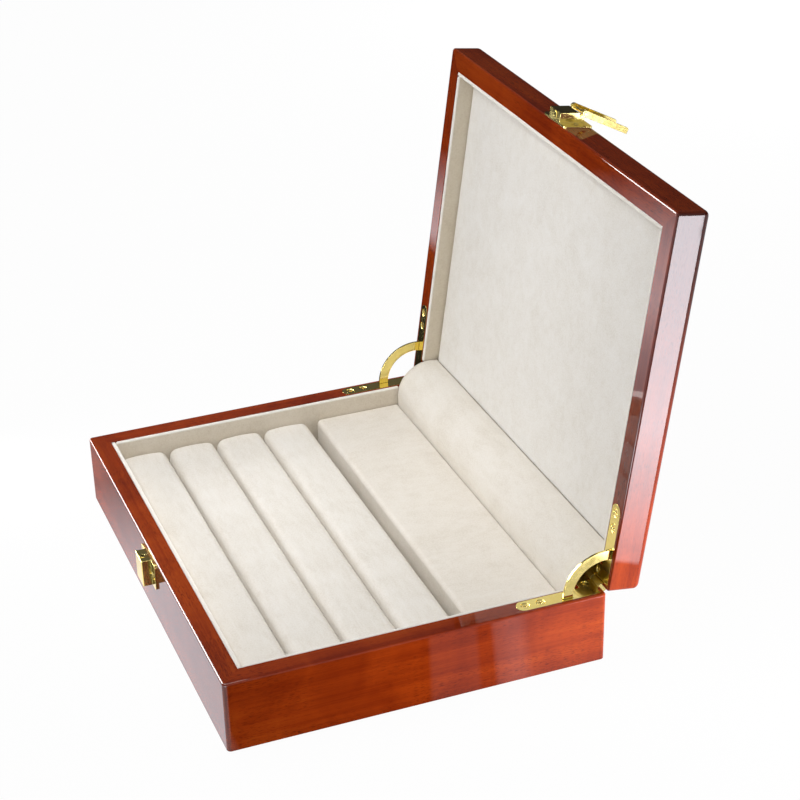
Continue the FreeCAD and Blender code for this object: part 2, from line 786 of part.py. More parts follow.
def lever():
    """Channel lever drawn upright about its pivot, open to the front, ribbed inside the web."""
    pieces = []
    for place, side in SIDES.items():
        low_x = f"{side} * ({LEVER_INNER} + dim.lever_sheet / 2) - dim.lever_sheet / 2"
        stretch = (low_x, f"{low_x} + dim.lever_sheet")
        depth = (f"-{LEVER_HALF}", LEVER_HALF)
        pieces.append(box(f"lever_{place}_flange", stretch, depth, ("0", "dim.lever_length")))
        pieces.append(cylinder(f"lever_{place}_eye", LEVER_HALF, "dim.lever_sheet", low_x, "0", "0", ALONG_X))
    web = box(
        "lever_web",
        (f"-{LEVER_OUTER}", LEVER_OUTER),
        (f"{LEVER_HALF} - dim.lever_sheet", LEVER_HALF),
        ("dim.lever_web_start", "dim.lever_length"),
    )
    pieces.append(web)
    first_rib = f"(dim.lever_length - dim.rib_pitch * {RIB_COUNT})"
    for count in range(RIB_COUNT):
        low = f"({first_rib} + {count} * dim.rib_pitch)"
        face = f"({LEVER_HALF} - dim.lever_sheet)"
        pieces.append(
            box(
                f"lever_rib_{count}",
                (f"-{LEVER_INNER}", LEVER_INNER),
                (f"{face} - dim.rib_height", face),
                (low, f"{low} + dim.rib_pitch / 2"),
            )
        )
    eye_hole = cylinder(
        "lever_eye_hole",
        "dim.pivot_pin_diameter / 2 + dim.pin_running_gap",
        f"2 * {LEVER_OUTER}",
        f"-{LEVER_OUTER}",
        "0",
        "0",
        ALONG_X,
    )
    channel = cut("lever_channel", fuse("lever_solid", pieces), eye_hole)
    tip = value("dim.lever_length")

    def tip_corner(edge):
        at_tip = edge.BoundBox.ZMin > tip - 1e-4
        return at_tip and runs_along(X_AXIS)(edge) and edge.BoundBox.YMax < -1e-4

    return rounded("lever_rounded", channel, "dim.lever_tip_radius", tip_corner)


# Wooden walls with their hinge seats and latch pilots
base_block = wood_block("base_block", "0", "dim.base_height", "dim.rim_radius", "dim.foot_radius")
lid_block = wood_block("lid_block", LID_RIM_Z, "dim.lid_height", "dim.lid_top_radius", "dim.rim_radius")
halves = {
    "base": (base_block, "0", "dim.base_height"),
    "lid": (lid_block, LID_RIM_Z, "dim.lid_height"),
}
for half, (block, low, height) in halves.items():
    walls = mitred_walls(half, block, low, height)
    seats = fuse(f"{half}_hinge_seats", hinge_seats(half))
    pilots = fuse(f"{half}_latch_pilots", latch_copies(screw_hole, f"{half}_pilot", half))
    for place, wall in walls.items():
        tool = pilots if place == "front" else seats
        node(cut(f"{half}_{place}_cut", wall, tool), f"{half}_{place}_wall", half == "lid")

panel_x = (f"-{INNER_X}", INNER_X)
panel_y = (f"-{INNER_Y}", INNER_Y)
node(box("felt", panel_x, panel_y, ("0", "dim.felt_thickness")), "base_felt")
node(box("bottom", panel_x, panel_y, ("dim.felt_thickness", PANEL_TOP_Z)), "base_bottom_panel")
top_stock = box("top_stock", panel_x, panel_y, (LID_CEILING_Z, LID_TOP_Z))
node(common("top", lid_block, top_stock), "lid_top_panel", True)


# Suede-covered liner boards, rounded along the edges that face the rim
def liner(name, x, y, z, edge_z, label, on_lid=False):
    board = box(name, x, y, z)
    along = X_AXIS if value(f"({x[1]}) - ({x[0]})") > value(f"({y[1]}) - ({y[0]})") else Y_AXIS
    level = at_height(edge_z)
    chosen = lambda edge: level(edge) and runs_along(along)(edge)
    node(rounded(f"{name}_soft", board, "dim.liner_edge_radius", chosen), label, on_lid)


COVER_BASE_Z = f"({HINGE_Z} - {COVER_START} - dim.soft_clearance)"
COVER_LID_Z = f"({HINGE_Z} + {COVER_START} + dim.soft_clearance)"
front_y = (f"-{INNER_Y}", f"-{LINED_Y}")
back_y = (LINED_Y, INNER_Y)
side_y = (f"-{LINED_Y}", LINED_Y)
right_x = (LINED_X, INNER_X)
left_x = (f"-{INNER_X}", f"-{LINED_X}")
base_z = (PANEL_TOP_Z, RIM_Z)
lid_z = (LID_RIM_Z, LID_CEILING_Z)
liner("base_front_board", panel_x, front_y, base_z, RIM_Z, "base_liner_front")
liner("base_right_board", right_x, side_y, base_z, RIM_Z, "base_liner_right")
liner("base_left_board", left_x, side_y, base_z, RIM_Z, "base_liner_left")
liner("base_back_board", panel_x, back_y, (PANEL_TOP_Z, COVER_BASE_Z), COVER_BASE_Z, "base_liner_back")
liner("lid_front_board", panel_x, front_y, lid_z, LID_RIM_Z, "lid_liner_front", True)
liner("lid_right_board", right_x, side_y, lid_z, LID_RIM_Z, "lid_liner_right", True)
liner("lid_left_board", left_x, side_y, lid_z, LID_RIM_Z, "lid_liner_left", True)
liner("lid_back_board", panel_x, back_y, (COVER_LID_Z, LID_CEILING_Z), COVER_LID_Z, "lid_liner_back", True)

lined_x = (f"-{LINED_X}", LINED_X)
node(box("floor", lined_x, side_y, (PANEL_TOP_Z, FLOOR_Z)), "base_floor_lining")

pad_stock = box(
    "pad_stock",
    (f"-{SOFT_X}", SOFT_X),
    (f"-{LINED_Y} + dim.soft_clearance", f"{LINED_Y} - dim.soft_clearance"),
    (PAD_FACE_Z, LID_CEILING_Z),
)
node(rounded("pad", pad_stock, "dim.pad_edge_radius", at_height(PAD_FACE_Z)), "lid_pad", True)


# Cufflink rolls: crowned foam rolls side by side behind the front liner
ROLL_TOP_Z = f"({RIM_Z} - dim.roll_drop)"
SHOULDER_Z = f"({ROLL_TOP_Z} - dim.roll_crown)"


def arc_radius(chord, rise):
    return f"((({chord}) ^ 2 / 4 + ({rise}) ^ 2) / (2 * ({rise})))"


def cufflink_roll(count):
    name = f"roll_{count + 1}"
    body = doc.addObject("PartDesign::Body", name)
    front = f"(-{LINED_Y} + {count} * dim.roll_pitch + dim.soft_clearance)"
    back = f"({front} + dim.roll_pitch - dim.soft_clearance)"
    inner_front = f"({front} + dim.roll_tuck)"
    inner_back = f"({back} - dim.roll_tuck)"
    corners = [
        (inner_front, FLOOR_Z),
        (inner_back, FLOOR_Z),
        (inner_back, SHOULDER_Z),
        (inner_front, SHOULDER_Z),
    ]
    side = (arc_radius(f"{SHOULDER_Z} - {FLOOR_Z}", "dim.roll_tuck"), True)
    crown = (arc_radius(f"{inner_back} - {inner_front}", "dim.roll_crown"), True)
    sketch = outline(body, f"{name}_section", "YZ_Plane", corners, {1: side, 2: crown, 3: side})
    pad = pad_across(body, f"{name}_pad", sketch, f"2 * {SOFT_X}")
    shoulder = at_height(SHOULDER_Z)
    long_edge = lambda edge: shoulder(edge) and runs_along(X_AXIS)(edge)
    shoulders = soften(body, f"{name}_shoulders", pad, "dim.roll_shoulder_radius", long_edge)
    end_x = value(SOFT_X)
    floor = value(FLOOR_Z)

    def end_edge(edge):
        reach = edge.BoundBox
        return min(abs(reach.XMin), abs(reach.XMax)) > end_x - 1e-4 and reach.ZMax > floor + 1

    soften(body, f"{name}_ends", shoulders, "dim.roll_end_radius", end_edge)
    return body


for count in range(ROLL_COUNT):
    node(cufflink_roll(count), f"cufflink_roll_{count + 1}")


# Suede-wrapped platform with a round front lip
PLATFORM_FRONT = f"(-{LINED_Y} + {ROLL_COUNT} * dim.roll_pitch + dim.platform_gap)"
PLATFORM_BACK = f"({LINED_Y} - dim.cover_thickness - dim.soft_clearance)"
PLATFORM_TOP_Z = f"({RIM_Z} - dim.platform_drop)"


def platform():
    body = doc.addObject("PartDesign::Body", "platform")
    corners = [
        (PLATFORM_FRONT, FLOOR_Z),
        (PLATFORM_BACK, FLOOR_Z),
        (PLATFORM_BACK, PLATFORM_TOP_Z),
        (f"{PLATFORM_FRONT} + dim.platform_lip_radius", PLATFORM_TOP_Z),
        (PLATFORM_FRONT, f"{PLATFORM_TOP_Z} - dim.platform_lip_radius"),
    ]
    arcs = {3: ("dim.platform_lip_radius", True)}
    sketch = outline(body, "platform_section", "YZ_Plane", corners, arcs)
    pad = pad_across(body, "platform_pad", sketch, f"2 * {SOFT_X}")
    end_x = value(SOFT_X)
    level = value(PLATFORM_TOP_Z)

    def end_edge(edge):
        reach = edge.BoundBox
        return min(abs(reach.XMin), abs(reach.XMax)) > end_x - 1e-4 and reach.ZMin > level - 1e-4

    soften(body, "platform_ends", pad, "dim.platform_end_radius", end_edge)
    return body


node(platform(), "display_platform")


# Suede strip bent over the hinge line, from the base's back liner to the lid pad
def hinge_cover():
    body = doc.addObject("PartDesign::Body", "cover")
    lid_end = f"({PAD_FACE_Z} - {HINGE_Z} - dim.soft_clearance)"
    inner_reach = f"({COVER_REACH} - dim.cover_thickness)"
    low = f"({RIM_Z} - dim.cover_flap)"
    bend_z = f"({HINGE_Z} - {COVER_START})"

    def base_point(reach, height):
        return (f"{HINGE_Y} - {reach}", height)

    def lid_point(reach, rise):
        across = f"{HINGE_Y} - {reach} * cos(dim.open_angle) + {rise} * sin(dim.open_angle)"
        up = f"{HINGE_Z} + {reach} * sin(dim.open_angle) + {rise} * cos(dim.open_angle)"
        return (across, up)

    corners = [
        base_point(COVER_REACH, low),
        base_point(inner_reach, low),
        base_point(inner_reach, bend_z),
        lid_point(inner_reach, COVER_START),
        lid_point(inner_reach, lid_end),
        lid_point(COVER_REACH, lid_end),
        lid_point(COVER_REACH, COVER_START),
        base_point(COVER_REACH, bend_z),
    ]
    arcs = {
        2: ("dim.cover_radius - dim.cover_thickness", False),
        6: ("dim.cover_radius", True),
    }
    sketch = outline(body, "cover_section", "YZ_Plane", corners, arcs)
    pad_across(body, "cover_pad", sketch, f"2 * {SOFT_X}")
    return body


node(hinge_cover(), "hinge_cover")

# Hinges
for place, side in SIDES.items():
    node(hinge_leaf("base", place, side), f"{place}_hinge_base_leaf")
    node(hinge_leaf("lid", place, side), f"{place}_hinge_lid_leaf", True)
    node(hinge_pin(place, side), f"{place}_hinge_pin")
    node(stop_arm(place, side), f"{place}_stop_arm")
node(compound("base_leaf_screws", leaf_screws("base")), "base_hinge_screws")
node(compound("lid_leaf_screws", leaf_screws("lid")), "lid_hinge_screws", True)

# Latch
node(catch(), "catch_plate")
node(bush("catch_bush", CATCH_BORE_Y, f"{CATCH_TOP} - dim.bush_depth"), "catch_bush")
node(compound("catch_fixings", latch_copies(screw, "catch_screw", "base")), "catch_screws")
node(hasp(), "hasp_plate", True)
node(bush("hasp_bush", HASP_BORE_Y, f"{HASP_LOW} - dim.bush_proud"), "hasp_bush", True)
node(compound("hasp_fixings", latch_copies(screw, "hasp_screw", "lid")), "hasp_screws", True)
pin_stock = lever_pin()
node(compound("pivot", [pin_stock]), "hasp_pin", True)
lever_solid = lever()
lever_solid.Placement = FreeCAD.Placement(
    V(0, value(PIVOT_Y), value(PIVOT_Z)), FreeCAD.Rotation(X_AXIS, -value("dim.lever_rest_tilt"))
)
node(lever_solid, "hasp_lever", True)

doc.recompute()
for obj in doc.Objects:
    if "Invalid" in obj.State or "Error" in obj.State:
        raise RuntimeError(f"{obj.Name} failed: {obj.State}")
for obj in nodes:
    if obj.Shape.isNull() or not obj.Shape.isValid():
        raise RuntimeError(f"{obj.Label} has no valid shape")

os.makedirs("parts", exist_ok=True)
for obj in nodes:
    obj.Shape.exportStep(f"parts/{obj.Label}.step")
print(len(nodes), "pieces written")
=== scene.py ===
import json
import math

import bmesh
import bpy
import numpy as np
from mathutils import Matrix, Vector, noise


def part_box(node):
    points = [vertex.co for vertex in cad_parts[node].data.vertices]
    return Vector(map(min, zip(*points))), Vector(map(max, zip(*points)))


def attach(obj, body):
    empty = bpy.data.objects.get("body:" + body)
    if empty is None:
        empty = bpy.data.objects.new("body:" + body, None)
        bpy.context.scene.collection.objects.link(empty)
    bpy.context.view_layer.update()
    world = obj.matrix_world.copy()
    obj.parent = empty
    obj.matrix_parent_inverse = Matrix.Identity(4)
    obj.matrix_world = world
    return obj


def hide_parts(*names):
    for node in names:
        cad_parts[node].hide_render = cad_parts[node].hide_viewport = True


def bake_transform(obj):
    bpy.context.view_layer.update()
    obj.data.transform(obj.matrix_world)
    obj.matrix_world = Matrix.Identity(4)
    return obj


# Cufflink display box: gloss lacquered wood, cream suede and polished brass
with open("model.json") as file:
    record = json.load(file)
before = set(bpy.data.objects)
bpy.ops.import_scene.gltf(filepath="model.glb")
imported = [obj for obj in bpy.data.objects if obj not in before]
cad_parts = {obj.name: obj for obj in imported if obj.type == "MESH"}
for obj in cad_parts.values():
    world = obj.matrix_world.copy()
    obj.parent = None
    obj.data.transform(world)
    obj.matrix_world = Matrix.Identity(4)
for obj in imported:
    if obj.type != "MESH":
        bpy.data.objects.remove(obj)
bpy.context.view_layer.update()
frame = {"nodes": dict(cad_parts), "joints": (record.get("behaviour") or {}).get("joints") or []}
nodes = frame["nodes"]

MM = 0.001
lid_hinge = next(joint for joint in frame["joints"] if joint["name"] == "lid_hinge")
HINGE_AXIS = Vector(lid_hinge["pos_m"])
OPEN_ANGLE = math.radians(lid_hinge["range_deg"][1])
CLOSED_TO_OPEN = (
    Matrix.Translation(HINGE_AXIS) @ Matrix.Rotation(-OPEN_ANGLE, 4, "X") @ Matrix.Translation(-HINGE_AXIS)
)
OPEN_TO_CLOSED = CLOSED_TO_OPEN.inverted()


def closed_box(node):
    """Lowest and highest corner of a lid piece with the lid shut."""
    points = np.array([OPEN_TO_CLOSED @ vertex.co for vertex in nodes[node].data.vertices])
    return Vector(points.min(0)), Vector(points.max(0))


class Shader:
    """Short way to write a node tree."""

    def __init__(self, owner):
        self.owner = owner
        owner.use_nodes = True
        self.tree = owner.node_tree
        self.tree.nodes.clear()

    @classmethod
    def material(cls, name):
        return cls(bpy.data.materials.new(name))

    def add(self, kind, inputs=None, **settings):
        item = self.tree.nodes.new(kind)
        for key, setting in settings.items():
            setattr(item, key, setting)
        for key, given in (inputs or {}).items():
            if isinstance(given, bpy.types.NodeSocket):
                self.tree.links.new(given, item.inputs[key])
            else:
                item.inputs[key].default_value = given
        return item

    def coordinates(self, on_lid=False):
        """Row-frame position at rest, in the closed lid's frame for pieces of the lid."""
        place = self.add("ShaderNodeTexCoord").outputs["Object"]
        if not on_lid:
            return place
        shift = OPEN_TO_CLOSED.to_translation()
        turn = OPEN_TO_CLOSED.to_euler()
        inputs = {"Vector": place, "Location": shift, "Rotation": turn}
        return self.add("ShaderNodeMapping", inputs).outputs[0]

    def stretched(self, place, scale, offset=(0.0, 0.0, 0.0)):
        inputs = {"Vector": place, "Scale": scale, "Location": offset}
        return self.add("ShaderNodeMapping", inputs).outputs[0]

    def noise(self, place, detail, roughness, distortion=0.0):
        """Noise one unit coarse, so that the stretch of its place sets how fine it is."""
        inputs = {"Vector": place, "Scale": 1.0, "Detail": detail}
        inputs |= {"Roughness": roughness, "Distortion": distortion}
        return self.add("ShaderNodeTexNoise", inputs).outputs["Fac"]

    def ramp(self, factor, stops):
        item = self.add("ShaderNodeValToRGB", {"Fac": factor})
        item.color_ramp.elements[0].position, item.color_ramp.elements[0].color = stops[0]
        item.color_ramp.elements[1].position, item.color_ramp.elements[1].color = stops[-1]
        for position, colour in stops[1:-1]:
            item.color_ramp.elements.new(position).color = colour
        return item.outputs["Color"]

    def levels(self, value, low, high, to_low=0.0, to_high=1.0):
        inputs = {"Value": value, "From Min": low, "From Max": high, "To Min": to_low, "To Max": to_high}
        return self.add("ShaderNodeMapRange", inputs).outputs["Result"]

    def math(self, operation, first, second):
        return self.add("ShaderNodeMath", {0: first, 1: second}, operation=operation).outputs[0]

    def scaled(self, value, factor, added):
        inputs = {0: value, 1: factor, 2: added}
        return self.add("ShaderNodeMath", inputs, operation="MULTIPLY_ADD").outputs[0]

    def blend(self, factor, first, second):
        item = self.add("ShaderNodeMix", data_type="RGBA")
        for index, given in ((0, factor), (6, first), (7, second)):
            if isinstance(given, bpy.types.NodeSocket):
                self.tree.links.new(given, item.inputs[index])
            else:
                item.inputs[index].default_value = given
        return item.outputs[2]

    def bump(self, height, strength, distance, below=None):
        inputs = {"Height": height, "Strength": strength, "Distance": distance}
        if below is not None:
            inputs["Normal"] = below
        return self.add("ShaderNodeBump", inputs).outputs["Normal"]

    def surface(self, inputs):
        """Finish with a principled surface and give the material."""
        bsdf = self.add("ShaderNodeBsdfPrincipled", inputs)
        self.add("ShaderNodeOutputMaterial", {"Surface": bsdf.outputs[0]})
        return self.owner

    def mixed(self, factor, first, second):
        return self.add("ShaderNodeMixShader", {0: factor, 1: first, 2: second}).outputs[0]


def rgba(red, green, blue):
    return (red, green, blue, 1.0)


# Materials. Noise is stretched by its cells per metre
def wood(name, along, on_lid, seed, tone=(1.0, 1.0, 1.0)):
    """Red-brown straight-grained wood under a thick gloss lacquer; along is the grain's axis."""
    red, green, blue = tone
    shader = Shader.material(name)
    place = shader.coordinates(on_lid)

    def grain_space(lengthwise, crosswise, shift):
        scale = [crosswise] * 3
        scale[along] = lengthwise
        return shader.stretched(place, scale, (seed + shift, seed * 1.7 + shift, seed * 0.6))

    streaks = shader.noise(grain_space(5.0, 190.0, 0.0), 5.0, 0.6, 0.25)
    fibres = shader.noise(grain_space(34.0, 1500.0, 3.0), 3.0, 0.6)
    pores = shader.noise(grain_space(300.0, 2900.0, 7.0), 2.0, 0.5)
    ribbon = shader.noise(grain_space(42.0, 26.0, 11.0), 2.0, 0.5, 0.8)
    broad = shader.noise(grain_space(7.0, 13.0, 17.0), 2.0, 0.5)
    figure = shader.math("MULTIPLY", streaks, 0.36)
    figure = shader.scaled(ribbon, 0.26, figure)
    figure = shader.scaled(broad, 0.40, figure)
    figure = shader.scaled(fibres, 0.14, figure)
    colour = shader.ramp(
        figure,
        [
            (0.40, rgba(0.125 * red, 0.0105 * green, 0.0011 * blue)),
            (0.52, rgba(0.210 * red, 0.0210 * green, 0.0018 * blue)),
            (0.62, rgba(0.285 * red, 0.0340 * green, 0.0028 * blue)),
            (0.76, rgba(0.385 * red, 0.0580 * green, 0.0050 * blue)),
        ],
    )
    clusters = shader.noise(grain_space(22.0, 48.0, 23.0), 2.0, 0.5)
    flecks = shader.levels(pores, 0.55, 0.64)
    flecks = shader.math("MULTIPLY", flecks, shader.levels(clusters, 0.40, 0.60, 0.15, 0.62))
    colour = shader.blend(flecks, colour, rgba(0.055, 0.0045, 0.0008))
    ripple = shader.noise(shader.stretched(place, (70.0, 70.0, 70.0), (seed, 0, 0)), 2.0, 0.5)
    sheen_level = shader.levels(fibres, 0.3, 0.7, 0.26, 0.36)
    under = shader.bump(fibres, 0.05, 0.0002)
    lacquer = shader.bump(ripple, 0.05, 0.0006)
    return shader.surface(
        {
            "Base Color": colour,
            "Roughness": sheen_level,
            "Normal": under,
            "Specular IOR Level": 0.0,
            "Coat Weight": 1.0,
            "Coat Roughness": 0.025,
            "Coat IOR": 1.52,
            "Coat Normal": lacquer,
        }
    )


def suede(name, on_lid, tone=(1.0, 1.0, 1.0), nap=(1.0, 1.0, 1.0), lit_edge_heights=None):
    """Cream napped cloth: soft mottling, short brushed strokes and a fine pile.

    The edge heights, when given, are where a painted highlight begins towards a board's top edge and where it
    is full; the pile mottles it.
    """
    shader = Shader.material(name)
    place = shader.coordinates(on_lid)
    cloud = shader.noise(shader.stretched(place, (38.0, 38.0, 38.0)), 3.0, 0.55, 0.6)
    strokes = shader.noise(shader.stretched(place, tuple(260.0 * part for part in nap)), 3.0, 0.6, 0.4)
    pile = shader.noise(shader.stretched(place, (1200.0, 1200.0, 1200.0)), 3.0, 0.65)
    level = shader.scaled(strokes, 0.26, shader.math("MULTIPLY", cloud, 0.26))
    level = shader.scaled(pile, 0.48, level)
    red, green, blue = tone
    colour = shader.ramp(
        level,
        [
            (0.34, rgba(0.760 * red, 0.712 * green, 0.635 * blue)),
            (0.50, rgba(0.850 * red, 0.812 * green, 0.750 * blue)),
            (0.66, rgba(0.900 * red, 0.872 * green, 0.825 * blue)),
        ],
    )
    # Painted highlight: the cloth is painted paler towards a board's top edge, which faces up to the light,
    # mottled by the pile
    if lit_edge_heights:
        rise = shader.add("ShaderNodeSeparateXYZ", {0: place}).outputs["Z"]
        highlight_mottle = shader.levels(pile, 0.3, 0.7, 0.75, 1.0)
        edge_highlight = shader.math("MULTIPLY", shader.levels(rise, *lit_edge_heights), highlight_mottle)
        colour = shader.blend(edge_highlight, colour, rgba(0.93, 0.90, 0.85))
    height = shader.scaled(pile, 0.6, shader.math("MULTIPLY", strokes, 0.4))
    return shader.surface(
        {
            "Base Color": colour,
            "Roughness": shader.levels(pile, 0.3, 0.7, 0.86, 1.0),
            "Normal": shader.bump(height, 0.45, 0.0004),
            "Specular IOR Level": 0.18,
            "Sheen Weight": 0.22,
            "Sheen Roughness": 0.45,
            "Sheen Tint": rgba(1.0, 0.96, 0.88),
        }
    )


BRASS_EDGE = 0.3 * MM


def brass(name, colour=(0.92, 0.77, 0.27), roughness=(0.08, 0.16), brushed=(900.0, 900.0, 900.0)):
    """Polished brass with faint rubbing marks and a little tarnish."""
    shader = Shader.material(name)
    place = shader.coordinates()
    haze = shader.noise(shader.stretched(place, (160.0, 160.0, 160.0)), 4.0, 0.6, 0.5)
    marks = shader.noise(shader.stretched(place, brushed), 2.0, 0.5)
    soft_edges = shader.add("ShaderNodeBevel", {"Radius": BRASS_EDGE}, samples=4).outputs[0]
    red, green, blue = colour
    tint = shader.ramp(
        haze,
        [
            (0.25, rgba(red * 0.93, green * 0.90, blue * 0.82)),
            (0.50, rgba(red, green, blue)),
            (0.75, rgba(red * 1.03, green * 1.04, blue * 1.10)),
        ],
    )
    return shader.surface(
        {
            "Base Color": tint,
            "Metallic": 1.0,
            "Roughness": shader.levels(haze, 0.3, 0.7, roughness[0], roughness[1]),
            "Normal": shader.bump(marks, 0.015, 0.0001, soft_edges),
        }
    )


def felt(name):
    shader = Shader.material(name)
    place = shader.coordinates()
    fuzz = shader.noise(shader.stretched(place, (1400.0, 1400.0, 1400.0)), 4.0, 0.7)
    cloud = shader.noise(shader.stretched(place, (60.0, 60.0, 60.0)), 3.0, 0.5)
    level = shader.scaled(fuzz, 0.6, shader.math("MULTIPLY", cloud, 0.4))
    colour = shader.ramp(level, [(0.35, rgba(0.012, 0.007, 0.005)), (0.65, rgba(0.045, 0.028, 0.020))])
    return shader.surface(
        {
            "Base Color": colour,
            "Roughness": 1.0,
            "Normal": shader.bump(fuzz, 0.6, 0.0005),
            "Specular IOR Level": 0.1,
            "Sheen Weight": 0.3,
            "Sheen Roughness": 0.6,
        }
    )


def dress(name, material):
    """Give a carried CAD node its material."""
    piece = nodes[name]
    piece.data.materials.clear()
    piece.data.materials.append(material)


ALONG_X, ALONG_Y = 0, 1
WALL_GRAIN = {"front": ALONG_X, "back": ALONG_X, "left": ALONG_Y, "right": ALONG_Y}
# The base's front wall is painted paler and less red than the other walls: painted light and a painted sheen
# of reflection on the same wood
PLAIN_TONE, PAINTED_LIGHT_TONE = (1.0, 1.0, 1.0), (1.22, 1.45, 1.45)
for half_seed, half in ((2.0, "base"), (31.0, "lid")):
    for wall_seed, (place, grain) in enumerate(WALL_GRAIN.items()):
        wall = f"{half}_{place}_wall"
        tone = PAINTED_LIGHT_TONE if wall == "base_front_wall" else PLAIN_TONE
        lacquer = wood(f"{wall}_lacquer", grain, half == "lid", half_seed + 4.3 * wall_seed, tone)
        dress(wall, lacquer)
dress("lid_top_panel", wood("lid_top_lacquer", ALONG_X, True, 57.0))
dress("base_bottom_panel", wood("bottom_lacquer", ALONG_X, False, 73.0))
dress("base_felt", felt("underside_felt"))

polished = brass("polished_brass")
screw_brass = brass("screw_brass", (0.88, 0.73, 0.28), (0.14, 0.24))
pin_brass = brass("pin_brass", (0.90, 0.75, 0.29), (0.12, 0.20), (2400.0, 120.0, 120.0))
BRASS_NODES = {
    polished: [
        "right_hinge_base_leaf",
        "left_hinge_base_leaf",
        "right_hinge_lid_leaf",
        "left_hinge_lid_leaf",
        "right_stop_arm",
        "left_stop_arm",
        "catch_plate",
        "catch_bush",
        "hasp_plate",
        "hasp_bush",
        "hasp_lever",
    ],
    screw_brass: ["base_hinge_screws", "lid_hinge_screws", "catch_screws", "hasp_screws"],
    pin_brass: ["right_hinge_pin", "left_hinge_pin", "hasp_pin"],
}
for material, names in BRASS_NODES.items():
    for name in names:
        dress(name, material)


# Soft pieces
def finished(name, verts, faces, material, body, replaced):
    """Smooth mesh piece that takes over its CAD nodes' place."""
    mesh = bpy.data.meshes.new(name)
    mesh.from_pydata([tuple(v) for v in verts], [], faces)
    mesh.validate()
    bm = bmesh.new()
    bm.from_mesh(mesh)
    bmesh.ops.recalc_face_normals(bm, faces=bm.faces)
    bm.to_mesh(mesh)
    bm.free()
    mesh.polygons.foreach_set("use_smooth", [True] * len(mesh.polygons))
    mesh.materials.append(material)
    piece = bpy.data.objects.new(name, mesh)
    bpy.context.scene.collection.objects.link(piece)
    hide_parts(*replaced)
    if body:
        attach(piece, body)
    return piece


def settle(point, amount, seed):
    """How far the cloth lies inside its full form there, from nothing up to amount."""
    coarse = noise.noise(Vector((point[0] * 22 + seed, point[1] * 40, point[2] * 40 + seed)))
    fine = noise.noise(Vector((point[0] * 95 + seed, point[1] * 120 + seed, point[2] * 120)))
    return amount * (0.5 + 0.36 * coarse + 0.14 * fine)


ARC_STEPS, SMALL_ARC_STEPS, END_STEPS = 12, 5, 9
STATION_STEP, FLAT_MARGIN = 2.6 * MM, 0.4 * MM


def line_points(first, last, count):
    """Points between two others, which divide the way into count steps."""
    run, rise = last[0] - first[0], last[1] - first[1]
    return [(first[0] + run * i / count, first[1] + rise * i / count) for i in range(1, count)]


def arc_points(centre, radius, first, last, count):
    """Points along an arc from the first to the last angle, in count steps."""
    return [
        (centre[0] + radius * math.cos(first + (last - first) * i / count),
         centre[1] + radius * math.sin(first + (last - first) * i / count))
        for i in range(count + 1)
    ]


def circle_meet(first, first_radius, second, second_radius):
    """Higher meeting point of two circles that lies on the outer side."""
    gap = math.dist(first, second)
    along = (first_radius**2 - second_radius**2 + gap**2) / (2 * gap)
    height = math.sqrt(first_radius**2 - along**2)
    ux, uy = (second[0] - first[0]) / gap, (second[1] - first[1]) / gap
    middle = (first[0] + along * ux, first[1] + along * uy)
    choices = [
        (middle[0] - height * uy, middle[1] + height * ux),
        (middle[0] + height * uy, middle[1] - height * ux),
    ]
    return max(choices, key=lambda p: p[1])


def roll_section(width, height, crown, tuck, shoulder):
    """Right half of a roll's cross-section about its middle, from its foot to the top of its crown."""
    chord = width - 2 * tuck
    crown_radius = (chord**2 / 4 + crown**2) / (2 * crown)
    side_height = height - crown
    side_radius = (side_height**2 / 4 + tuck**2) / (2 * tuck)
    crown_centre = (0.0, height - crown_radius)
    side_centre = (width / 2 - side_radius, side_height / 2)
    round_centre = circle_meet(crown_centre, crown_radius - shoulder, side_centre, side_radius - shoulder)
    toward_side = math.atan2(round_centre[1] - side_centre[1], round_centre[0] - side_centre[0])
    toward_crown = math.atan2(round_centre[1] - crown_centre[1], round_centre[0] - crown_centre[0])
    foot = math.atan2(0.0 - side_centre[1], chord / 2 - side_centre[0])
    half = arc_points(side_centre, side_radius, foot, toward_side, ARC_STEPS)
    half += arc_points(round_centre, shoulder, toward_side, toward_crown, ARC_STEPS)[1:]
    half += arc_points(crown_centre, crown_radius, toward_crown, math.pi / 2, ARC_STEPS)[1:]
    return half


def extrude_soft(name, section, low_x, high_x, end_radius, floor, amount, seed, material, replaced):
    """Closed soft form: a cross-section of (y, z) points run along X with its ends rounded over."""
    section = np.array(section)
    before, after = np.roll(section, 1, axis=0), np.roll(section, -1, axis=0)
    tangent = after - before
    tangent /= np.linalg.norm(tangent, axis=1)[:, None]
    inward = np.stack([-tangent[:, 1], tangent[:, 0]], axis=1)
    lifted = section[:, 1] > floor + FLAT_MARGIN
    rim = [end_radius * (1 - math.cos(math.pi / 2 * i / END_STEPS)) for i in range(END_STEPS)]
    inner = list(np.arange(low_x + end_radius, high_x - end_radius, STATION_STEP)) + [high_x - end_radius]
    stations = [low_x + s for s in rim] + inner + [high_x - s for s in reversed(rim)]
    verts, faces = [], []
    count = len(section)
    for x in stations:
        near = min(x - low_x, high_x - x)
        inset = 0.0
        if near < end_radius:
            inset = end_radius - math.sqrt(end_radius**2 - (end_radius - near) ** 2)
        for k in range(count):
            pull = inset + settle((x, section[k, 0], section[k, 1]), amount, seed) if lifted[k] else 0.0
            y, z = section[k] + inward[k] * pull
            verts.append((x, y, max(z, floor)))
    for s in range(len(stations) - 1):
        for k in range(count):
            n = (k + 1) % count
            faces.append((s * count + k, s * count + n, (s + 1) * count + n, (s + 1) * count + k))
    faces.append(tuple(reversed(range(count))))
    faces.append(tuple((len(stations) - 1) * count + k for k in range(count)))
    return finished(name, verts, faces, material, "base", replaced)


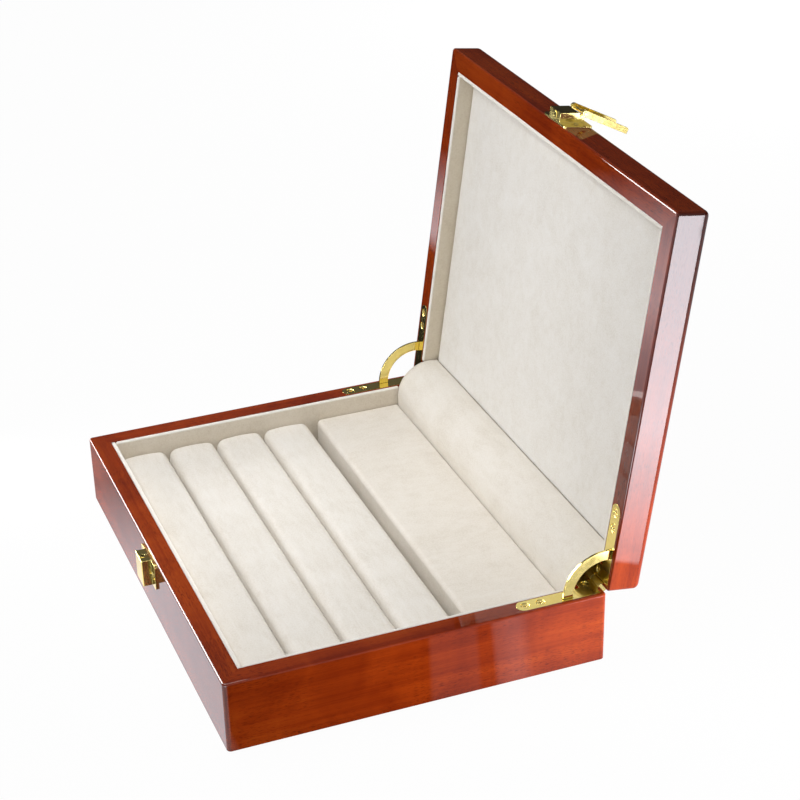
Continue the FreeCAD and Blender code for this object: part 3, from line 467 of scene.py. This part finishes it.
ROLL_CROWN, ROLL_TUCK, ROLL_SHOULDER, ROLL_END = 0.9 * MM, 1.5 * MM, 5.0 * MM, 2.0 * MM
ROLL_SETTLE, PLATFORM_SETTLE = 0.35 * MM, 0.25 * MM
roll_suede = suede("roll_suede", False, nap=(0.35, 1.2, 1.2))
for number in range(1, 5):
    node = f"cufflink_roll_{number}"
    low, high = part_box(node)
    middle = (low[1] + high[1]) / 2
    half = roll_section(high[1] - low[1], high[2] - low[2], ROLL_CROWN, ROLL_TUCK, ROLL_SHOULDER)
    right = [(middle + y, low[2] + z) for y, z in half]
    left = [(middle - y, low[2] + z) for y, z in reversed(half[:-1])]
    roll = extrude_soft(
        f"roll_cushion_{number}", right + left, low[0], high[0], ROLL_END, low[2], ROLL_SETTLE,
        number * 5.1, roll_suede, [node]
    )

low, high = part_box("display_platform")
LIP, BACK_EDGE, PLATFORM_END = 3.0 * MM, 1.2 * MM, 1.5 * MM
BOTTOM_STEPS, BACK_STEPS, TOP_STEPS, FRONT_STEPS = 8, 8, 16, 6
front_foot, back_foot = (low[1], low[2]), (high[1], low[2])
back_round, front_round = (high[1] - BACK_EDGE, high[2] - BACK_EDGE), (low[1] + LIP, high[2] - LIP)
platform_section = [front_foot, *line_points(front_foot, back_foot, BOTTOM_STEPS), back_foot]
platform_section += line_points(back_foot, (high[1], back_round[1]), BACK_STEPS)
platform_section += arc_points(back_round, BACK_EDGE, 0.0, math.pi / 2, SMALL_ARC_STEPS)
platform_section += line_points((back_round[0], high[2]), (front_round[0], high[2]), TOP_STEPS)
platform_section += arc_points(front_round, LIP, math.pi / 2, math.pi, ARC_STEPS)
platform_section += line_points((low[1], front_round[1]), front_foot, FRONT_STEPS)
# The platform's cloth is painted a little warmer and darker than the rolls: painted shade under the lid
platform = extrude_soft(
    "platform_cushion", platform_section, low[0], high[0], PLATFORM_END, low[2], PLATFORM_SETTLE, 41.0,
    suede("platform_suede", False, (0.985, 0.97, 0.95), (1.0, 0.5, 1.0)), ["display_platform"]
)

EDGE_POINTS, FEWEST_LINES = 5, 4


def rounded_board(name, low, high, radius, step, amount, seed, material, body, replaced, turn=None):
    """Cloth-covered board: a finely divided box with its edges rolled over."""
    low, high = np.array(low), np.array(high)
    counts = [max(FEWEST_LINES, int(round((high[a] - low[a]) / step))) for a in range(3)]

    def spaced(axis):
        size = high[axis] - low[axis]
        edge = np.linspace(0.0, radius, EDGE_POINTS)
        middle = np.linspace(radius, size - radius, counts[axis])
        return low[axis] + np.concatenate([edge, middle[1:-1], size - edge[::-1]])

    lines = [spaced(axis) for axis in range(3)]
    index, verts, faces = {}, [], []

    def vertex(key):
        if key not in index:
            point = np.array([lines[a][key[a]] for a in range(3)])
            core = np.clip(point, low + radius, high - radius)
            away = point - core
            length = np.linalg.norm(away)
            if length > 1e-9:
                point = core + away / length * (radius - settle(point, amount, seed))
            index[key] = len(verts)
            verts.append(point)
        return index[key]

    for axis in range(3):
        u, v = [a for a in range(3) if a != axis]
        for end in (0, len(lines[axis]) - 1):
            for i in range(len(lines[u]) - 1):
                for j in range(len(lines[v]) - 1):
                    corners = []
                    for di, dj in ((0, 0), (1, 0), (1, 1), (0, 1)):
                        key = [0, 0, 0]
                        key[axis], key[u], key[v] = end, i + di, j + dj
                        corners.append(vertex(tuple(key)))
                    faces.append(corners)
    if turn is not None:
        verts = [turn @ Vector(v) for v in verts]
    return finished(name, verts, faces, material, body, replaced)


# Suede boards, in the closed frame for those in the lid
BOARD_EDGE, BOARD_STEP, BOARD_SETTLE = 1.0 * MM, 4.0 * MM, 0.12 * MM
FLOOR_EDGE, FLOOR_STEP, FLOOR_SETTLE = 0.3 * MM, 6.0 * MM, 0.05 * MM
PAD_EDGE, PAD_STEP, PAD_SETTLE = 1.5 * MM, 3.4 * MM, 0.16 * MM
# Distances from the rim at which the painted highlight on the liners' top edges begins and is full
HIGHLIGHT_FROM, HIGHLIGHT_FULL_AT = 1.2 * MM, 0.5 * MM
base_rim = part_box("base_liner_left")[1].z
lid_rim = closed_box("lid_liner_left")[0].z
# The liners' cloth is painted darker and warmer than the rolls, and the lid's liners darker and yellower
# still: painted shade on the walls of tray and lid
liner_suede = suede(
    "liner_suede", False, (0.93, 0.89, 0.82), lit_edge_heights=(base_rim - HIGHLIGHT_FROM, base_rim - HIGHLIGHT_FULL_AT)
)
lid_liner_suede = suede(
    "lid_liner_suede", True, (0.86, 0.81, 0.71), lit_edge_heights=(lid_rim + HIGHLIGHT_FROM, lid_rim + HIGHLIGHT_FULL_AT)
)
# The lid pad's cloth is painted a little darker and cooler than the rolls: painted shade
pad_suede = suede("pad_suede", True, (0.935, 0.95, 0.975), (1.0, 0.85, 1.0))
BASE_BOARDS = ["base_liner_front", "base_liner_right", "base_liner_left", "base_liner_back"]
for seed, node in enumerate(BASE_BOARDS):
    low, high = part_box(node)
    board = rounded_board(
        f"{node}_suede", low, high, BOARD_EDGE, BOARD_STEP, BOARD_SETTLE, 60.0 + seed, liner_suede, "base",
        [node]
    )
low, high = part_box("base_floor_lining")
floor_cloth = rounded_board(
    "floor_lining_suede", low, high, FLOOR_EDGE, FLOOR_STEP, FLOOR_SETTLE, 66.0, liner_suede, "base",
    ["base_floor_lining"]
)

LID_BOARDS = ["lid_liner_front", "lid_liner_right", "lid_liner_left", "lid_liner_back"]
for seed, node in enumerate(LID_BOARDS):
    low, high = closed_box(node)
    board = rounded_board(
        f"{node}_suede", low, high, BOARD_EDGE, BOARD_STEP, BOARD_SETTLE, 70.0 + seed, lid_liner_suede, "lid",
        [node], CLOSED_TO_OPEN
    )
pad_low, pad_high = closed_box("lid_pad")
pad = rounded_board(
    "lid_pad_suede", pad_low, pad_high, PAD_EDGE, PAD_STEP, PAD_SETTLE, 77.0, pad_suede, "lid", ["lid_pad"],
    CLOSED_TO_OPEN
)


# Suede strip over the hinge line
COVER_RADIUS, COVER_CLOTH, COVER_GAP = 19.7 * MM, 1.2 * MM, 0.3 * MM
COVER_STATIONS, BEND_STEPS, FLAP_STEPS, LID_FLAP_STEPS = 110, 40, 8, 4
cover_low, cover_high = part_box("hinge_cover")
COVER_HALF = cover_high.x
COVER_REACH = HINGE_AXIS.y - cover_low.y
COVER_START = (COVER_RADIUS - COVER_REACH) * math.tan(OPEN_ANGLE / 2)


def cover_line(depth):
    """Section of the strip at a depth below its show face: base flap, bend, lid flap."""
    reach, radius = COVER_REACH - depth, COVER_RADIUS - depth
    bend = (HINGE_AXIS.y + COVER_RADIUS - COVER_REACH, HINGE_AXIS.z - COVER_START)
    foot, top = (HINGE_AXIS.y - reach, cover_low.z), (HINGE_AXIS.y - reach, bend[1])
    flap = [foot, *line_points(foot, top, FLAP_STEPS)]
    turn = arc_points(bend, radius, math.pi, math.pi - OPEN_ANGLE, BEND_STEPS)
    lid_start = (HINGE_AXIS.y - reach, HINGE_AXIS.z + COVER_START)
    lid_end = (HINGE_AXIS.y - reach, pad_low.z - COVER_GAP)
    lid_flap = [*line_points(lid_start, lid_end, LID_FLAP_STEPS), lid_end]
    lid_flap = [CLOSED_TO_OPEN @ Vector((0, y, z)) for y, z in lid_flap]
    return flap + turn + [(p.y, p.z) for p in lid_flap]


def cover_mesh():
    """Vertices and faces of the strip, and the length of its show face across the hinge."""
    show, back = cover_line(0.0), cover_line(COVER_CLOTH)
    loop = show + back[::-1]
    count = len(loop)
    xs = np.linspace(-COVER_HALF, COVER_HALF, COVER_STATIONS)
    verts = [(x, y, z) for x in xs for y, z in loop]
    faces = []
    for s in range(len(xs) - 1):
        for k in range(count):
            n = (k + 1) % count
            faces.append((s * count + k, s * count + n, (s + 1) * count + n, (s + 1) * count + k))
    for s, flip in ((0, False), (len(xs) - 1, True)):
        first, last = s * count, (s + 1) * count - 1
        for k in range(len(show) - 1):
            quad = [first + k, first + k + 1, last - 1 - k, last - k]
            faces.append(tuple(reversed(quad)) if flip else tuple(quad))
    length = sum(math.dist(show[k], show[k + 1]) for k in range(len(show) - 1))
    return verts, faces, length


verts, faces, cover_length = cover_mesh()
# The strip's cloth is painted a little darker than the rolls: painted shade
cover = finished(
    "hinge_cover_suede", verts, faces, suede("cover_suede", False, (0.93, 0.92, 0.905), (0.4, 1.0, 1.0)),
    None, ["hinge_cover"]
)
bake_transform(cover)


# Stage. The floor looks plain white; what the lacquer and the brass mirror of it is a bright card beyond the
# right side and one off the front right corner, bands beside the right wall, a pale sweep in front, a pale
# patch far to the left and a dull one behind
FLOOR_HALF, FLOOR_DROP, FLOOR_GLOW, FLOOR_WHITE = 3.0, 0.2 * MM, 0.02, 0.975

# Shares of a glow along an area's own run
BAND_SHARES = [
    (0.04, 0.0), (0.07, 0.24), (0.30, 0.28), (0.33, 0.08), (0.39, 0.08), (0.42, 0.55), (0.50, 0.82),
    (0.55, 0.82), (0.61, 0.44),
]
CARD_SHARES = [
    (0.0, 1.0), (0.26, 1.0), (0.29, 0.05), (0.50, 0.05), (0.53, 0.08), (0.60, 0.065), (0.80, 0.05),
]
PATCH_SHARES = [
    (0.05, 0.0), (0.17, 0.23), (0.30, 0.62), (0.41, 0.81), (0.61, 1.0), (0.75, 0.62), (0.88, 0.42),
]

# Runs and edges in metres, some along a slant across the floor; an edge is where an area starts and where
# it is fully there, and a glow is an edge with the strength at its start and end
OUTWARD_SLANT, ASIDE_SLANT, WALL_SLANT = 0.7, -0.6, -0.377
CARD_RUN, CARD_EDGE, CARD_SIDE = (0.0, 0.2), (0.3085, 0.3145), (-0.04, -0.02)
CARD_GLOW = (0.31, 0.50, 5.0, 14.0)
BAND_RUN, BAND_GLOW = (-0.049, 0.051), (0.0, 0.1, 0.0, 1.7)
FRONT_EDGE, FRONT_LEFT = (-0.092, -0.100), (-0.24, -0.20)
FRONT_GLOW = (-0.145, -0.03, 0.30, 1.18)
PATCH_RUN, PATCH_RIGHT, PATCH_GLOW = (-0.80, -0.16), (-0.20, -0.22), (-0.07, -0.09, 0.0, 2.6)
CORNER_LEFT, CORNER_RIGHT, CORNER_FRONT = (0.185, 0.195), (0.36, 0.32), (-0.36, -0.32)
CORNER_GLOW = (-0.105, -0.115, 0.0, 11.0)
BEHIND_EDGE, BEHIND_GLOW = (0.06, 0.12), (0.08, 0.02, 0.06, 0.5)

# Share of the front sweep that is left in a mirror's mirror, between the first and the second bounce
SECOND_MIRROR = (1.5, 1.6, 1.0, 0.12)


def stage_floor():
    mesh = bpy.data.meshes.new("studio_floor")
    near, far = -FLOOR_HALF, FLOOR_HALF
    mesh.from_pydata([(near, near, 0), (far, near, 0), (far, far, 0), (near, far, 0)], [], [(0, 1, 2, 3)])
    floor = bpy.data.objects.new("studio_floor", mesh)
    floor.location.z = -FLOOR_DROP
    bpy.context.scene.collection.objects.link(floor)
    shader = Shader.material("studio_white")
    light_path = shader.add("ShaderNodeLightPath")
    position = shader.add("ShaderNodeNewGeometry").outputs["Position"]
    place = shader.add("ShaderNodeSeparateXYZ", {0: position})
    across, back = place.outputs["X"], place.outputs["Y"]

    def shares(value, run, stops):
        stops = [(spot, rgba(share, share, share)) for spot, share in stops]
        return shader.ramp(shader.levels(value, *run), stops)

    def product(first, *others):
        for other in others:
            first = shader.math("MULTIPLY", first, other)
        return first

    outward = shader.scaled(back, OUTWARD_SLANT, across)
    aside = shader.scaled(across, ASIDE_SLANT, back)
    along_wall = shader.scaled(across, WALL_SLANT, back)
    card = product(
        shader.levels(outward, *CARD_GLOW),
        shader.levels(outward, *CARD_EDGE),
        product(shares(aside, CARD_RUN, CARD_SHARES), shader.levels(aside, *CARD_SIDE)),
    )
    bands = product(shares(along_wall, BAND_RUN, BAND_SHARES), shader.levels(across, *BAND_GLOW))
    mirrored_again = shader.levels(light_path.outputs["Glossy Depth"], *SECOND_MIRROR)
    front = product(
        shader.levels(back, *FRONT_EDGE),
        shader.levels(across, *FRONT_LEFT),
        shader.levels(across, *FRONT_GLOW),
        mirrored_again,
    )
    patch = product(
        shares(across, PATCH_RUN, PATCH_SHARES),
        shader.levels(across, *PATCH_RIGHT),
        shader.levels(back, *PATCH_GLOW),
    )
    corner = product(
        shader.levels(across, *CORNER_LEFT),
        shader.levels(back, *CORNER_GLOW),
        shader.levels(across, *CORNER_RIGHT),
        shader.levels(back, *CORNER_FRONT),
    )
    behind = product(shader.levels(back, *BEHIND_EDGE), shader.levels(across, *BEHIND_GLOW))
    glow = shader.math("MAXIMUM", card, bands)
    for layer in (front, patch, corner, behind, FLOOR_GLOW):
        glow = shader.math("MAXIMUM", glow, layer)

    white = shader.add("ShaderNodeBsdfDiffuse", {"Color": rgba(0.80, 0.80, 0.80)}).outputs[0]
    seen = shader.add("ShaderNodeEmission", {"Color": rgba(1.0, 1.0, 1.0), "Strength": 1.0}).outputs[0]
    mirrored = shader.add("ShaderNodeEmission", {"Color": rgba(0.97, 0.94, 1.0), "Strength": glow}).outputs[0]
    plain = shader.mixed(FLOOR_WHITE, white, seen)
    for_camera = shader.mixed(light_path.outputs["Is Camera Ray"], white, plain)
    for_gloss = shader.mixed(light_path.outputs["Is Glossy Ray"], for_camera, mirrored)
    shader.add("ShaderNodeOutputMaterial", {"Surface": for_gloss})
    mesh.materials.append(shader.owner)


# Sky as parts of a direction, each with the strengths at its start and end
FRONT_RIGHT, SKY_SIDE, SKY_RISE = (0.8, -0.6, 0.0), (-0.3, 0.5, 0.0, 0.55), (0.25, 0.50, 0.03, 0.12)
FILL_BACKWARD, FILL_RIGHTWARD = (-0.4, 0.6, 0.40, 0.12), (-0.2, 0.8, 1.0, 0.5)


def stage_world():
    """Plain white to the camera; for reflections the sky is dim at the back left and paler elsewhere."""
    bpy.context.scene.world = bpy.data.worlds.new("studio")
    sky = Shader(bpy.context.scene.world)
    light_path = sky.add("ShaderNodeLightPath")
    toward = sky.add("ShaderNodeTexCoord").outputs["Generated"]
    front_right = {0: toward, 1: FRONT_RIGHT}
    side = sky.add("ShaderNodeVectorMath", front_right, operation="DOT_PRODUCT").outputs["Value"]
    parts = sky.add("ShaderNodeSeparateXYZ", {0: toward})
    dim = sky.levels(parts.outputs["Z"], *SKY_RISE)
    gloss_level = sky.math("MAXIMUM", dim, sky.levels(side, *SKY_SIDE))
    from_front = sky.levels(parts.outputs["Y"], *FILL_BACKWARD)
    from_left = sky.levels(parts.outputs["X"], *FILL_RIGHTWARD)
    fill_level = sky.math("MULTIPLY", from_front, from_left)

    def background(colour, strength):
        return sky.add("ShaderNodeBackground", {"Color": colour, "Strength": strength}).outputs[0]

    gloss = background(rgba(0.95, 0.93, 1.0), gloss_level)
    fill = background(rgba(1.0, 0.99, 0.98), fill_level)
    around = sky.mixed(light_path.outputs["Is Glossy Ray"], fill, gloss)
    seen = sky.mixed(light_path.outputs["Is Camera Ray"], around, background(rgba(1.0, 1.0, 1.0), 1.0))
    sky.add("ShaderNodeOutputWorld", {"Surface": seen})


def softbox(name, place, aim, size, power, spread=180.0, mirrored=True, lights=True):
    """Panel lamp in metres, watts and degrees of spread; it can be left out of reflections or of lighting."""
    data = bpy.data.lights.new(name, "AREA")
    data.shape = "RECTANGLE"
    data.size, data.size_y = size
    data.energy = power
    data.spread = math.radians(spread)
    lamp = bpy.data.objects.new(name, data)
    lamp.location = place
    lamp.rotation_euler = (Vector(aim) - Vector(place)).to_track_quat("-Z", "Y").to_euler()
    lamp.visible_camera = False
    lamp.visible_glossy = mirrored
    lamp.visible_diffuse = lights
    bpy.context.scene.collection.objects.link(lamp)


# Camera fitted to the photo
PHOTO_PIXELS, FOCAL_PIXELS, FRAME_SHIFT = 800.0, 1999.2, (0.04, 0.1125)
CAMERA_PLACE = (0.86487, -0.28773, 0.58404)
CAMERA_FORWARD, CAMERA_UP = Vector((-0.81234, 0.29123, -0.50526)), Vector((-0.4644, 0.20102, 0.86251))


def stage_camera():
    data = bpy.data.cameras.new("photo_camera")
    data.sensor_width = 36.0
    data.lens = FOCAL_PIXELS / PHOTO_PIXELS * data.sensor_width
    data.shift_x, data.shift_y = FRAME_SHIFT
    data.clip_start, data.clip_end = 0.01, 50.0
    camera = bpy.data.objects.new("photo_camera", data)
    forward = CAMERA_FORWARD.normalized()
    right = forward.cross(CAMERA_UP).normalized()
    up = right.cross(forward)
    turn = Matrix((right, up, -forward)).transposed().to_4x4()
    camera.matrix_world = Matrix.Translation(CAMERA_PLACE) @ turn
    bpy.context.scene.collection.objects.link(camera)
    bpy.context.scene.camera = camera


stage_floor()
stage_world()
softbox("tray_panel", (-0.02, -0.11, 0.35), (-0.01, 0.02, 0.05), (0.29, 0.24), 0.52, spread=130.0)
softbox("left_window", (-0.55, -0.45, 0.33), (0.0, -0.45, 0.33), (0.34, 0.54), 9.0, lights=False)
softbox(
    "left_front", (-0.22, -0.19, 0.05), (-0.13, -0.10, 0.0), (0.05, 0.05), 0.075, spread=90.0, mirrored=False
)
softbox(
    "side_strip", (0.30, 0.30, 0.035), (0.13, 0.09, 0.045), (0.20, 0.03), 0.435, spread=70.0, mirrored=False
)
softbox("back_box", (-0.80, 0.80, 0.16), (0.0, 0.10, 0.10), (0.6, 0.24), 7.0, mirrored=False)
stage_camera()
bpy.context.scene.view_settings.view_transform = "Standard"
